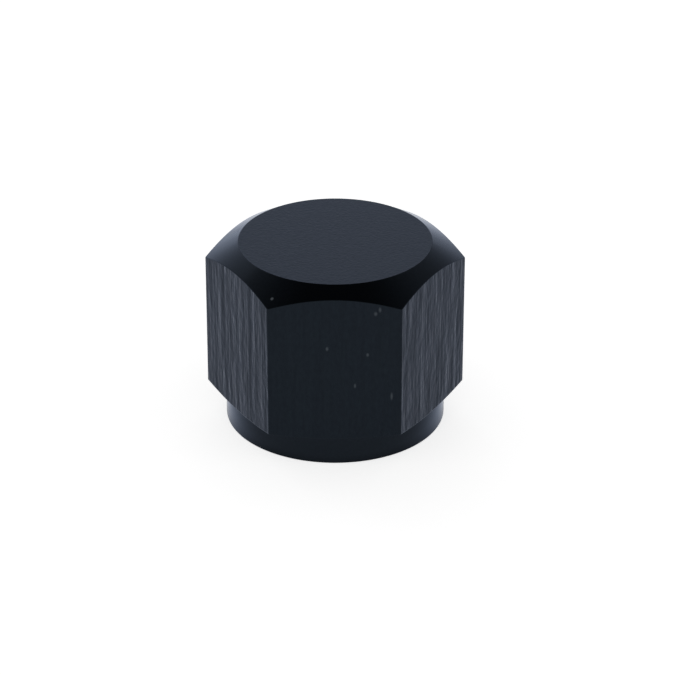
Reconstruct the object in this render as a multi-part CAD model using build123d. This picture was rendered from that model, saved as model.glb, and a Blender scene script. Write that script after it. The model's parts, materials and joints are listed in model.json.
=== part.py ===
from build123d import *
import os
from math import cos, pi, radians, tan

# Hexagonal protection cap for a 37-degree flare fitting with a 9/16-18 thread,
# turned in one piece from hexagonal bar. Millimetres, +Z up. The cap stands on its
# open mouth: the origin is the centre of the mouth rim, and the closed end is on top.

# Thread
thread_major_diameter = 14.288     # 9/16 in
threads_per_inch = 18
minor_depth_in_pitches = 0.54127   # radial height of the internal thread, 5/8 of a sharp one

# Outside
overall_height = 14.9
collar_wall = 1.456                # round wall outside the thread's major diameter
collar_inset = 0.13                # how far the collar lies inside a flat
collar_height = 2.25               # mouth rim to a flat's lower edge, at the flat's middle
back_chamfer_angle = 16            # rise of the hexagon's underside, outwards
top_face_inset = 1.23              # how far the round top face lies inside a flat
top_chamfer_angle = 30             # fall of the chamfer from the top face, outwards
corner_radius = 0.22               # rounding of the bar's six long corners
edge_round = 0.12                  # rounding of the turned edges
turning_margin = 1.0               # how far the turned outline runs on past the bar's corners

# Inside
end_wall = 1.7                     # metal above the flat floor of the cavity
countersink_depth = 0.256          # 45-degree lead-in beyond the major diameter
relief_width = 1.4                 # undercut where the thread runs out
relief_depth = 0.2                 # undercut beyond the major diameter
seat_shelf = 0.15                  # step from the thread's minor radius to the seat
seat_angle = 37                    # between the seat cone and the axis
seat_floor_diameter = 7.6          # small end of the seat cone

# Worked out
major_radius = thread_major_diameter / 2
minor_radius = major_radius - minor_depth_in_pitches * 25.4 / threads_per_inch
collar_radius = major_radius + collar_wall
flat_radius = collar_radius + collar_inset
corner_reach = flat_radius / cos(pi / 6)   # axis to a sharp corner
top_face_radius = flat_radius - top_face_inset
seat_outer_radius = minor_radius - seat_shelf
seat_floor_radius = seat_floor_diameter / 2
seat_height = (seat_outer_radius - seat_floor_radius) / tan(radians(seat_angle))
floor_height = overall_height - end_wall
relief_top = floor_height - seat_height
thread_end = relief_top - relief_width


def turned(outline, rounded=()):
    """The solid swept round Z by a closed (radius, height) outline, with the corners
    numbered in rounded eased by edge_round."""
    section = make_face(Polyline(*outline, close=True))
    if rounded:
        corners = [section.vertices().sort_by_distance(outline[number])[0] for number in rounded]
        section = fillet(corners, edge_round)
    return revolve(Plane.XZ * section, Axis.Z)


def hexagonal_bar():
    """Bar stock with one flat facing -Y."""
    hexagon = RegularPolygon(flat_radius, 6, major_radius=False)
    return extrude(fillet(hexagon.vertices(), corner_radius), overall_height)


def turned_envelope():
    """What the lathe leaves: collar, back chamfer, top chamfer and top face."""
    reach = corner_reach + turning_margin

    def back_chamfer_height(radius):
        return collar_height + (radius - flat_radius) * tan(radians(back_chamfer_angle))

    def top_chamfer_height(radius):
        return overall_height - (radius - top_face_radius) * tan(radians(top_chamfer_angle))

    outline = [
        (0, 0),
        (collar_radius, 0),
        (collar_radius, back_chamfer_height(collar_radius)),
        (reach, back_chamfer_height(reach)),
        (reach, top_chamfer_height(reach)),
        (top_face_radius, overall_height),
        (0, overall_height),
    ]
    return turned(outline, rounded=(1, 5))


def cavity():
    """The threaded bore at its major diameter, its lead-in and undercut, and the seat
    cone that closes on the fitting's nose."""
    return turned([
        (0, 0),
        (major_radius + countersink_depth, 0),
        (major_radius, countersink_depth),
        (major_radius, thread_end),
        (major_radius + relief_depth, thread_end + relief_depth),
        (major_radius + relief_depth, relief_top),
        (seat_outer_radius, relief_top),
        (seat_floor_radius, floor_height),
        (0, floor_height),
    ])


cap = (hexagonal_bar() & turned_envelope()) - cavity()
cap.label = "cap"

os.makedirs("parts", exist_ok=True)
export_step(cap, "parts/cap.step")
print(f"across flats {2 * flat_radius:.3f}, collar {2 * collar_radius:.3f}, "
      f"bore wall {countersink_depth:.3f} to {thread_end:.3f}, seat {relief_top:.3f} to {floor_height:.3f}")
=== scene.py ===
import json
from math import cos, hypot, pi, radians, sin, tan
import bmesh
import bpy
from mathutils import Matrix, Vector


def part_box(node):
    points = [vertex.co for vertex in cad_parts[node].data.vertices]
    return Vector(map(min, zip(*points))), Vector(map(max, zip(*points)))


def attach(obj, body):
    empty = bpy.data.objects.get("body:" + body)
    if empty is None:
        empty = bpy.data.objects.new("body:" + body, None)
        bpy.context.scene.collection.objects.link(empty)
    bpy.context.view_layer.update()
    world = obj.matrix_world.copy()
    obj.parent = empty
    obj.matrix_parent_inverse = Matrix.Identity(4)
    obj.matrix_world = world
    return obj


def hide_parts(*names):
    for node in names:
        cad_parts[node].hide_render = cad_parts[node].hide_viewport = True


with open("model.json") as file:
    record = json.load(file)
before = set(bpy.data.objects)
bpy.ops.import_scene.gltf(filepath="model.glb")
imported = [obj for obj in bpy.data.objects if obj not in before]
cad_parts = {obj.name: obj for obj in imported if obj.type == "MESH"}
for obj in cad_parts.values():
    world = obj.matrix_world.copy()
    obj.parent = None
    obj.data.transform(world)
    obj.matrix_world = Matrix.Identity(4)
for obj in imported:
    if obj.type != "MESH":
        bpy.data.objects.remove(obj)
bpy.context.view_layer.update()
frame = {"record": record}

metre = 1000.0                                   # modelled in millimetres, then scaled to metres
mm = 1 / metre
threadMount = next(m for m in frame["record"]["mounts"] if m["name"] == "thread")
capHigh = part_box("cap")[1]

cap = {
    "height": capHigh.z * metre,
    "flatRadius": capHigh.y * metre,             # axis to a flat
    "cornerRadius": 0.22,                        # rounding of the bar's long corners
    "collarInset": 0.13,                         # the collar lies this far inside a flat
    "collarHeight": 2.25,                        # mouth to a flat's lower edge, at mid flat
    "backChamfer": radians(16),
    "topFaceInset": 1.23,
    "topChamfer": radians(30),
    "turningMargin": 1.0,                        # the turned blank is this much wider than the bar
    "edgeRound": 0.12,                           # rounding of the turned edges
    "arcBreak": 0.04,                            # what is taken off the arcs between flats and chamfers
    "majorRadius": threadMount["dims"]["r_mm"],
    "pitch": 25.4 / 18,                          # 18 threads to the inch
    "threadDepth": 0.54127,                      # of the ridges, in pitches
    "flankAngle": pi / 6,                        # between a flank and the radius
    "countersink": 0.256,                        # lead-in beyond the major radius
    "threadLength": threadMount["dims"]["length_mm"],
    "reliefDepth": 0.2,                          # undercut beyond the major radius
    "reliefWidth": 1.4,
    "seatShelf": 0.15,                           # step from the ridges in to the seat cone
    "seatFloorRadius": 3.8,
    "endWall": 1.7,                              # metal above the cavity's flat floor
    "mouthRound": 0.05,                          # rounding of the lead-in and of the seat's shelf
    "turnSteps": 288,                            # facets round the axis, a multiple of six
    "threadSteps": 144,                          # facets in one turn of the thread
}
cap["minorRadius"] = cap["majorRadius"] - cap["threadDepth"] * cap["pitch"]
cap["threadEnd"] = cap["countersink"] + cap["threadLength"]
cap["reliefTop"] = cap["threadEnd"] + cap["reliefWidth"]
cap["floorHeight"] = cap["height"] - cap["endWall"]
finishSlots = {"flat": 0, "turned": 1, "faced": 2, "bore": 3}


def turnBlank(bm):
    # the half section as a chain of edges, rounded at four corners and spun into the turned blank
    c = cap
    collarRadius = c["flatRadius"] - c["collarInset"]
    topRadius = c["flatRadius"] - c["topFaceInset"]
    reach = c["flatRadius"] / cos(pi / 6) + c["turningMargin"]
    mouthRadius = c["majorRadius"] + c["countersink"]
    reliefRadius = c["majorRadius"] + c["reliefDepth"]
    runOut = c["threadEnd"] - (c["majorRadius"] - c["minorRadius"])

    def backZ(r):
        return c["collarHeight"] + (r - c["flatRadius"]) * tan(c["backChamfer"])

    outline = [
        (0, c["height"]),
        (topRadius, c["height"]),
        (reach, c["height"] - (reach - topRadius) * tan(c["topChamfer"])),
        (reach, backZ(reach)),
        (collarRadius, backZ(collarRadius)),
        (collarRadius, 0),
        (mouthRadius, 0),
        (c["minorRadius"], mouthRadius - c["minorRadius"]),
        (c["minorRadius"], runOut),
        (reliefRadius, runOut + reliefRadius - c["minorRadius"]),
        (reliefRadius, c["reliefTop"]),
        (c["minorRadius"] - c["seatShelf"], c["reliefTop"]),
        (c["seatFloorRadius"], c["floorHeight"]),
        (0, c["floorHeight"]),
    ]
    chain = [bm.verts.new((r, 0, z)) for r, z in outline]
    for one, other in zip(chain, chain[1:]):
        bm.edges.new((one, other))
    setBack = {1: c["edgeRound"] * tan(c["topChamfer"] / 2), 5: c["edgeRound"],
               6: c["mouthRound"], 11: c["mouthRound"]}
    for number, offset in setBack.items():
        bmesh.ops.bevel(bm, geom=[chain[number]], affect="VERTICES", offset=offset, segments=6,
                        profile=0.5, material=-1)
    bmesh.ops.spin(bm, geom=bm.verts[:] + bm.edges[:], cent=(0, 0, 0), axis=(0, 0, 1), angle=2 * pi,
                   steps=c["turnSteps"], use_merge=True)
    bmesh.ops.remove_doubles(bm, verts=bm.verts, dist=1e-4)
    bmesh.ops.recalc_face_normals(bm, faces=bm.faces)


def planeCut(bm, angle, distance):
    # what lies further out than distance, along angle from +X, is milled away
    outward = Vector((cos(angle), sin(angle), 0))
    cut = bmesh.ops.bisect_plane(bm, geom=bm.verts[:] + bm.edges[:] + bm.faces[:], dist=1e-5,
                                 plane_co=outward * distance, plane_no=outward, clear_outer=True)
    rim = [item for item in cut["geom_cut"] if isinstance(item, bmesh.types.BMEdge)]
    bmesh.ops.holes_fill(bm, edges=rim, sides=0)


def cutHexagon(bm):
    # six flats, then five narrow facets that round each long corner
    axisToRound = (cap["flatRadius"] - cap["cornerRadius"]) / cos(pi / 6)
    for side in range(6):
        planeCut(bm, radians(60 * side + 30), cap["flatRadius"])
    for corner in range(6):
        for turn in (-20, -10, 0, 10, 20):
            distance = axisToRound * cos(radians(turn)) + cap["cornerRadius"]
            planeCut(bm, radians(60 * corner + turn), distance)
    bmesh.ops.recalc_face_normals(bm, faces=bm.faces)


def isBarSkin(face):
    return abs(face.normal.z) < 0.01 and face.calc_center_median().z > cap["collarHeight"]


def breakArcs(bm):
    # the sharp arcs where the chamfers meet the bar's skin are taken off a little
    bm.normal_update()
    arcs = [edge for edge in bm.edges if sum(isBarSkin(face) for face in edge.link_faces) == 1]
    bmesh.ops.bevel(bm, geom=arcs, affect="EDGES", offset=cap["arcBreak"], segments=2,
                    profile=0.5, clamp_overlap=False, material=-1)


def sweepTap(bm):
    # the thread's groove as a solid: a trapezium swept up a helix, from under the mouth to the undercut
    c = cap
    inside = 0.25                                # how far the section reaches in past the bore wall
    below = 0.1                                  # and how far under the mouth it starts
    depth = c["majorRadius"] - c["minorRadius"] + inside
    halfRoot = c["pitch"] / 16
    halfBase = halfRoot + depth * tan(c["flankAngle"])
    start = -halfBase - below
    turns = (c["threadEnd"] + c["pitch"] / 2 - start) / c["pitch"]
    steps = round(turns * c["threadSteps"])
    corners = [bm.verts.new((c["majorRadius"] - reach, 0, start + z)) for reach, z in (
        (depth, -halfBase), (0, -halfRoot), (0, halfRoot), (depth, halfBase))]
    section = bm.faces.new(corners)
    bmesh.ops.spin(bm, geom=[section] + section.edges[:] + corners, cent=(0, 0, 0), axis=(0, 0, 1),
                   dvec=(0, 0, c["pitch"] / c["threadSteps"]), steps=steps,
                   angle=2 * pi * steps / c["threadSteps"])
    bmesh.ops.recalc_face_normals(bm, faces=bm.faces)


def nameFaces(bm):
    # each face takes the finish of the cut that made it
    c = cap
    bm.normal_update()
    for face in bm.faces:
        middle = face.calc_center_median()
        inBore = hypot(middle.x, middle.y) < c["majorRadius"] + c["reliefDepth"]
        if inBore and middle.z < c["floorHeight"] + c["mouthRound"]:
            face.material_index = finishSlots["bore"]
        elif middle.z > c["height"] - 1e-3:
            face.material_index = finishSlots["faced"]
        elif isBarSkin(face):
            face.material_index = finishSlots["flat"]
        else:
            face.material_index = finishSlots["turned"]
        face.smooth = True


def newPiece(name, bm):
    mesh = bpy.data.meshes.new(name)
    bm.to_mesh(mesh)
    bm.free()
    piece = bpy.data.objects.new(name, mesh)
    bpy.context.scene.collection.objects.link(piece)
    return piece


def makeCap():
    body = bmesh.new()
    turnBlank(body)
    cutHexagon(body)
    breakArcs(body)
    piece = newPiece("cap_body", body)
    groove = bmesh.new()
    sweepTap(groove)
    tap = newPiece("tap", groove)

    cut = piece.modifiers.new("thread", "BOOLEAN")
    cut.operation, cut.solver, cut.object = "DIFFERENCE", "EXACT", tap
    evaluated = piece.evaluated_get(bpy.context.evaluated_depsgraph_get())
    threaded = bpy.data.meshes.new_from_object(evaluated)
    piece.modifiers.clear()
    piece.data = threaded
    bpy.data.objects.remove(tap)

    body = bmesh.new()
    body.from_mesh(threaded)
    bmesh.ops.remove_doubles(body, verts=body.verts, dist=5e-4)
    nameFaces(body)
    bmesh.ops.scale(body, vec=(mm, mm, mm), verts=body.verts)
    openEdges = sum(len(edge.link_faces) != 2 for edge in body.edges)
    print("cap modelled:", len(body.faces), "faces,", openEdges, "open edges")
    body.to_mesh(threaded)
    body.free()
    threaded.set_sharp_from_angle(angle=radians(15))
    even = piece.modifiers.new("evenShading", "WEIGHTED_NORMAL")
    even.mode, even.weight, even.keep_sharp = "FACE_AREA", 50, True
    return piece


def addNode(tree, kind, settings=None, inputs=None):
    # settings are the node's own properties; an input is a plain value or the socket that feeds it
    node = tree.nodes.new(kind)
    for name, value in (settings or {}).items():
        setattr(node, name, value)
    for name, value in (inputs or {}).items():
        if isinstance(value, bpy.types.NodeSocket):
            tree.links.new(value, node.inputs[name])
        else:
            node.inputs[name].default_value = value
    return node


def linear(hexColour):
    # sRGB hex to linear light
    channels = [int(hexColour[i:i + 2], 16) / 255 for i in (1, 3, 5)]
    return tuple(c / 12.92 if c <= 0.04045 else ((c + 0.055) / 1.055) ** 2.4 for c in channels) + (1.0,)


def newMaterial(name):
    material = bpy.data.materials.new(name)
    material.use_nodes = True
    material.node_tree.nodes.clear()
    return material, material.node_tree


def grain(tree, place, width, length, detail=1.0):
    # noise in grains width wide and length long up the part, both in millimetres
    scaled = addNode(tree, "ShaderNodeMapping", inputs={
        "Vector": place, "Scale": (metre / width, metre / width, metre / length)})
    noise = addNode(tree, "ShaderNodeTexNoise", inputs={
        "Vector": scaled.outputs["Vector"], "Scale": 1.0, "Detail": detail, "Roughness": 0.5})
    return noise.outputs["Fac"]


def nickMask(tree, place, nicks):
    # 1 in the middle of each nick, 0 away from them; a nick is its place, width and height in millimetres
    mask = None
    for x, y, z, width, height in nicks:
        near = addNode(tree, "ShaderNodeMapping", {"vector_type": "TEXTURE"}, {
            "Vector": place, "Location": (x * mm, y * mm, z * mm),
            "Scale": (width * mm, width * mm, height * mm)})
        away = addNode(tree, "ShaderNodeVectorMath", {"operation": "LENGTH"}, {
            0: near.outputs["Vector"]})
        spot = addNode(tree, "ShaderNodeMapRange", {"interpolation_type": "SMOOTHSTEP"}, {
            "Value": away.outputs["Value"], "From Min": 0.6, "From Max": 0.15}).outputs["Result"]
        mask = spot if mask is None else addNode(tree, "ShaderNodeMath", {"operation": "MAXIMUM"}, {
            0: mask, 1: spot}).outputs[0]
    return mask


turnedTint = "#e9f0ff"                           # what the oxide film leaves of a glancing reflection


def finish(tree, colour, roughness, height, depth, tint=turnedTint):
    # height is 0 to 1, and depth is what 1 stands for in millimetres
    bump = addNode(tree, "ShaderNodeBump", inputs={"Height": height, "Distance": depth * mm})
    shader = addNode(tree, "ShaderNodeBsdfPrincipled", inputs={
        "Base Color": colour, "Roughness": roughness, "Metallic": 1.0, "Specular Tint": linear(tint),
        "Normal": bump.outputs["Normal"]})
    addNode(tree, "ShaderNodeOutputMaterial", inputs={"Surface": shader.outputs["BSDF"]})


drawn = {
    "dark": "#181c22",
    "light": "#1e242a",
    "nick": "#363b40",
    "line": (0.9, 50.0, 0.085),                  # width, length and height of the drawing lines
    "dash": (0.8, 4.0, 0.095),                   # of the shorter dashes in them
    "speck": (0.5, 1.0, 0.045),                  # and of the specks between
    "mottle": (0.25, 0.5),                       # width and length of the shade's mottling
    "sheen": (0.4, 6.0),                         # and of the change from dull to glossy
    "roughness": (0.22, 0.4),
    "edgeTint": "#e4e8f3",
}
nicksOnFlat = [(x, -cap["flatRadius"], z, width, height) for x, z, width, height in (
    (3.4, 13.4, 0.25, 0.5), (3.08, 13.06, 0.3, 0.4), (-0.57, 10.07, 0.25, 0.4),
    (2.49, 9.57, 0.25, 0.35), (1.54, 6.89, 0.2, 0.45), (4.33, 6.0, 0.22, 0.75))]


def makeDrawnBar():
    # aluminium bar as drawn through its die, black anodised: satin, with lines along the bar that
    # only show where it is seen at a slant; anodising leaves shallow nicks a little lighter
    material, tree = newMaterial("drawnAnodisedAluminium")
    place = addNode(tree, "ShaderNodeTexCoord").outputs["Object"]
    height = None
    for width, length, tall in (drawn["line"], drawn["dash"], drawn["speck"]):
        height = addNode(tree, "ShaderNodeMath", {"operation": "MULTIPLY_ADD"}, {
            0: grain(tree, place, width, length, 2.0), 1: tall,
            2: 0.0 if height is None else height}).outputs[0]
    mottle = grain(tree, place, *drawn["mottle"], 2.0)
    shade = addNode(tree, "ShaderNodeMix", {"data_type": "RGBA"}, {
        0: mottle, 6: linear(drawn["dark"]), 7: linear(drawn["light"])})
    nicked = addNode(tree, "ShaderNodeMix", {"data_type": "RGBA"}, {
        0: nickMask(tree, place, nicksOnFlat), 6: shade.outputs[2], 7: linear(drawn["nick"])})
    low, high = drawn["roughness"]
    roughness = addNode(tree, "ShaderNodeMapRange", inputs={
        "Value": grain(tree, place, *drawn["sheen"]), "From Min": 0.35, "From Max": 0.65,
        "To Min": low, "To Max": high})
    finish(tree, nicked.outputs[2], roughness.outputs["Result"], height, 1.0, drawn["edgeTint"])
    return material


turned = {
    "dark": "#181c21",
    "light": "#1d2228",
    "nick": "#787f86",
    "feed": 0.15,                                # width of a turning ring
    "ringDepth": 0.0008,
    "mottle": 0.2,
    "roughness": (0.16, 0.21),
}
nicksOnChamfer = [(-4.7, -7.93, 13.9, 0.28, 0.5)]


def makeTurned():
    # aluminium turned with a fine feed, black anodised: a soft gloss, with hardly visible rings
    material, tree = newMaterial("turnedAnodisedAluminium")
    place = addNode(tree, "ShaderNodeTexCoord").outputs["Object"]
    parts = addNode(tree, "ShaderNodeSeparateXYZ", inputs={"Vector": place})
    flatPlace = addNode(tree, "ShaderNodeCombineXYZ", inputs={
        "X": parts.outputs["X"], "Y": parts.outputs["Y"]})
    radius = addNode(tree, "ShaderNodeVectorMath", {"operation": "LENGTH"}, {
        0: flatPlace.outputs["Vector"]})
    section = addNode(tree, "ShaderNodeCombineXYZ", inputs={
        "X": radius.outputs["Value"], "Z": parts.outputs["Z"]}).outputs["Vector"]
    rings = grain(tree, section, turned["feed"], turned["feed"])
    mottle = grain(tree, place, turned["mottle"], turned["mottle"], 2.0)
    shade = addNode(tree, "ShaderNodeMix", {"data_type": "RGBA"}, {
        0: mottle, 6: linear(turned["dark"]), 7: linear(turned["light"])})
    nicked = addNode(tree, "ShaderNodeMix", {"data_type": "RGBA"}, {
        0: nickMask(tree, place, nicksOnChamfer), 6: shade.outputs[2], 7: linear(turned["nick"])})
    low, high = turned["roughness"]
    roughness = addNode(tree, "ShaderNodeMapRange", inputs={
        "Value": mottle, "From Min": 0.3, "From Max": 0.7, "To Min": low, "To Max": high})
    finish(tree, nicked.outputs[2], roughness.outputs["Result"], rings, turned["ringDepth"])
    return material


faced = {"dark": "#191d23", "light": "#1e232a", "grain": 0.2, "grainDepth": 0.014,
         "roughness": (0.36, 0.42)}


def makeFaced():
    # an end faced with a fine feed, black anodised: an even satin, with a very fine grain
    material, tree = newMaterial("facedAnodisedAluminium")
    place = addNode(tree, "ShaderNodeTexCoord").outputs["Object"]
    fine = grain(tree, place, faced["grain"], faced["grain"], 2.0)
    shade = addNode(tree, "ShaderNodeMix", {"data_type": "RGBA"}, {
        0: fine, 6: linear(faced["dark"]), 7: linear(faced["light"])})
    low, high = faced["roughness"]
    roughness = addNode(tree, "ShaderNodeMapRange", inputs={
        "Value": fine, "From Min": 0.3, "From Max": 0.7, "To Min": low, "To Max": high})
    finish(tree, shade.outputs[2], roughness.outputs["Result"], fine, faced["grainDepth"])
    return material


bored = {"dark": "#171b20", "light": "#1d2228", "chatter": (0.3, 0.15), "chatterDepth": 0.002,
         "roughness": (0.24, 0.32)}


def makeBored():
    # a tapped and bored hole, black anodised: glossy flanks with a little chatter
    material, tree = newMaterial("tappedAnodisedAluminium")
    place = addNode(tree, "ShaderNodeTexCoord").outputs["Object"]
    chatter = grain(tree, place, *bored["chatter"])
    shade = addNode(tree, "ShaderNodeMix", {"data_type": "RGBA"}, {
        0: chatter, 6: linear(bored["dark"]), 7: linear(bored["light"])})
    low, high = bored["roughness"]
    roughness = addNode(tree, "ShaderNodeMapRange", inputs={
        "Value": chatter, "From Min": 0.3, "From Max": 0.7, "To Min": low, "To Max": high})
    finish(tree, shade.outputs[2], roughness.outputs["Result"], chatter, bored["chatterDepth"])
    return material


capPiece = makeCap()
for makeFinish in (makeDrawnBar, makeTurned, makeFaced, makeBored):
    capPiece.data.materials.append(makeFinish())
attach(capPiece, "root")
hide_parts("cap")
print("cap finished")

table = {
    "size": 4.0,                                 # metres, like contact
    "colour": "#f2f2f2",
    "glow": 0.68,                                # what it shows by itself, so that it reads as white
    "contact": 0.001,                            # how far the cap darkens that glow in reflections
}


def makeTable():
    bm = bmesh.new()
    bmesh.ops.create_grid(bm, x_segments=1, y_segments=1, size=table["size"] / 2)
    floor = newPiece("table", bm)
    material, tree = newMaterial("paleTable")
    path = addNode(tree, "ShaderNodeLightPath")
    contact = addNode(tree, "ShaderNodeAmbientOcclusion", {"samples": 8}, {"Distance": table["contact"]})
    mirrored = addNode(tree, "ShaderNodeMath", {"operation": "MULTIPLY"}, {
        0: path.outputs["Is Glossy Ray"], 1: contact.outputs["AO"]})
    seen = addNode(tree, "ShaderNodeMath", {"operation": "MAXIMUM"}, {
        0: path.outputs["Is Camera Ray"], 1: path.outputs["Is Transmission Ray"]})
    shown = addNode(tree, "ShaderNodeMath", {"operation": "MAXIMUM"}, {
        0: seen.outputs[0], 1: mirrored.outputs[0]})
    strength = addNode(tree, "ShaderNodeMath", {"operation": "MULTIPLY"}, {
        0: shown.outputs[0], 1: table["glow"]})
    pale = addNode(tree, "ShaderNodeBsdfDiffuse", inputs={"Color": linear(table["colour"])})
    light = addNode(tree, "ShaderNodeEmission", inputs={"Strength": strength.outputs[0]})
    both = addNode(tree, "ShaderNodeAddShader", inputs={0: pale.outputs[0], 1: light.outputs[0]})
    below = addNode(tree, "ShaderNodeNewGeometry").outputs["Backfacing"]
    gone = addNode(tree, "ShaderNodeBsdfTransparent")
    face = addNode(tree, "ShaderNodeMixShader", inputs={0: below, 1: both.outputs[0], 2: gone.outputs[0]})
    addNode(tree, "ShaderNodeOutputMaterial", inputs={"Surface": face.outputs[0]})
    floor.data.materials.append(material)


# brightness of the walls by the sine of the height above the horizon: pale below, a dark ceiling
walls = ((0.1, 1.0), (0.24, 0.78), (0.37, 0.52), (0.72, 0.47), (0.82, 0.33), (0.9, 0.18), (0.96, 0.09))


def makeWalls():
    world = bpy.data.worlds.new("studio")
    bpy.context.scene.world = world
    world.use_nodes = True
    tree = world.node_tree
    tree.nodes.clear()
    direction = addNode(tree, "ShaderNodeTexCoord").outputs["Generated"]
    up = addNode(tree, "ShaderNodeSeparateXYZ", inputs={"Vector": direction}).outputs["Z"]
    ramp = addNode(tree, "ShaderNodeValToRGB", inputs={"Fac": up})
    while len(ramp.color_ramp.elements) < len(walls):
        ramp.color_ramp.elements.new(1.0)
    for element, (position, level) in zip(ramp.color_ramp.elements, walls):
        element.position = position
        element.color = (level, level, level, 1)
    studio = addNode(tree, "ShaderNodeBackground", inputs={"Color": ramp.outputs["Color"]})
    white = addNode(tree, "ShaderNodeBackground", inputs={"Color": (1, 1, 1, 1)})
    cameraRay = addNode(tree, "ShaderNodeLightPath").outputs["Is Camera Ray"]
    either = addNode(tree, "ShaderNodeMixShader", inputs={
        0: cameraRay, 1: studio.outputs[0], 2: white.outputs[0]})
    addNode(tree, "ShaderNodeOutputWorld", inputs={"Surface": either.outputs[0]})


softbox = {
    "bearing": radians(111),                     # from +X: behind the cap and a little to its left
    "rise": radians(25),
    "distance": 0.9,
    "width": 1.0,
    "height": 0.75,
    "watts": 0.95,
}


def makeSoftbox():
    s = softbox
    data = bpy.data.lights.new("softbox", "AREA")
    data.shape = "RECTANGLE"
    data.size, data.size_y, data.energy = s["width"], s["height"], s["watts"]
    lamp = bpy.data.objects.new("softbox", data)
    bpy.context.scene.collection.objects.link(lamp)
    lamp.location = s["distance"] * Vector((
        cos(s["bearing"]) * cos(s["rise"]), sin(s["bearing"]) * cos(s["rise"]), sin(s["rise"])))
    lamp.rotation_euler = (-lamp.location).to_track_quat("-Z", "Y").to_euler()


view = {
    "azimuth": radians(0.29),                    # from -Y, towards +X
    "elevation": radians(27.87),
    "distance": 237.6,                           # millimetres from the middle of the cap
    "middle": 7.508,                             # height of that middle
    "aimRight": 0.179,                           # the frame's centre lies this far right of it
    "aimDown": 0.982,                            # and this far below it
    "lens": 161.9,
    "sensor": 36,
    "clip": (0.01, 20),                          # metres
}


def makeCamera():
    v = view
    data = bpy.data.cameras.new("camera")
    data.sensor_width, data.lens = v["sensor"], v["lens"]
    data.clip_start, data.clip_end = v["clip"]
    camera = bpy.data.objects.new("camera", data)
    bpy.context.scene.collection.objects.link(camera)
    back = Vector((sin(v["azimuth"]) * cos(v["elevation"]), -cos(v["azimuth"]) * cos(v["elevation"]),
                   sin(v["elevation"])))
    right = Vector((cos(v["azimuth"]), sin(v["azimuth"]), 0))
    middle = Vector((0, 0, v["middle"]))
    camera.location = (middle + back * v["distance"]) * mm
    aim = (middle + right * v["aimRight"] - right.cross(-back) * v["aimDown"]) * mm
    camera.rotation_euler = (aim - camera.location).to_track_quat("-Z", "Y").to_euler()
    bpy.context.scene.camera = camera


makeTable()
makeWalls()
makeSoftbox()
makeCamera()
bpy.context.scene.view_settings.view_transform = "Standard"
print("studio ready")
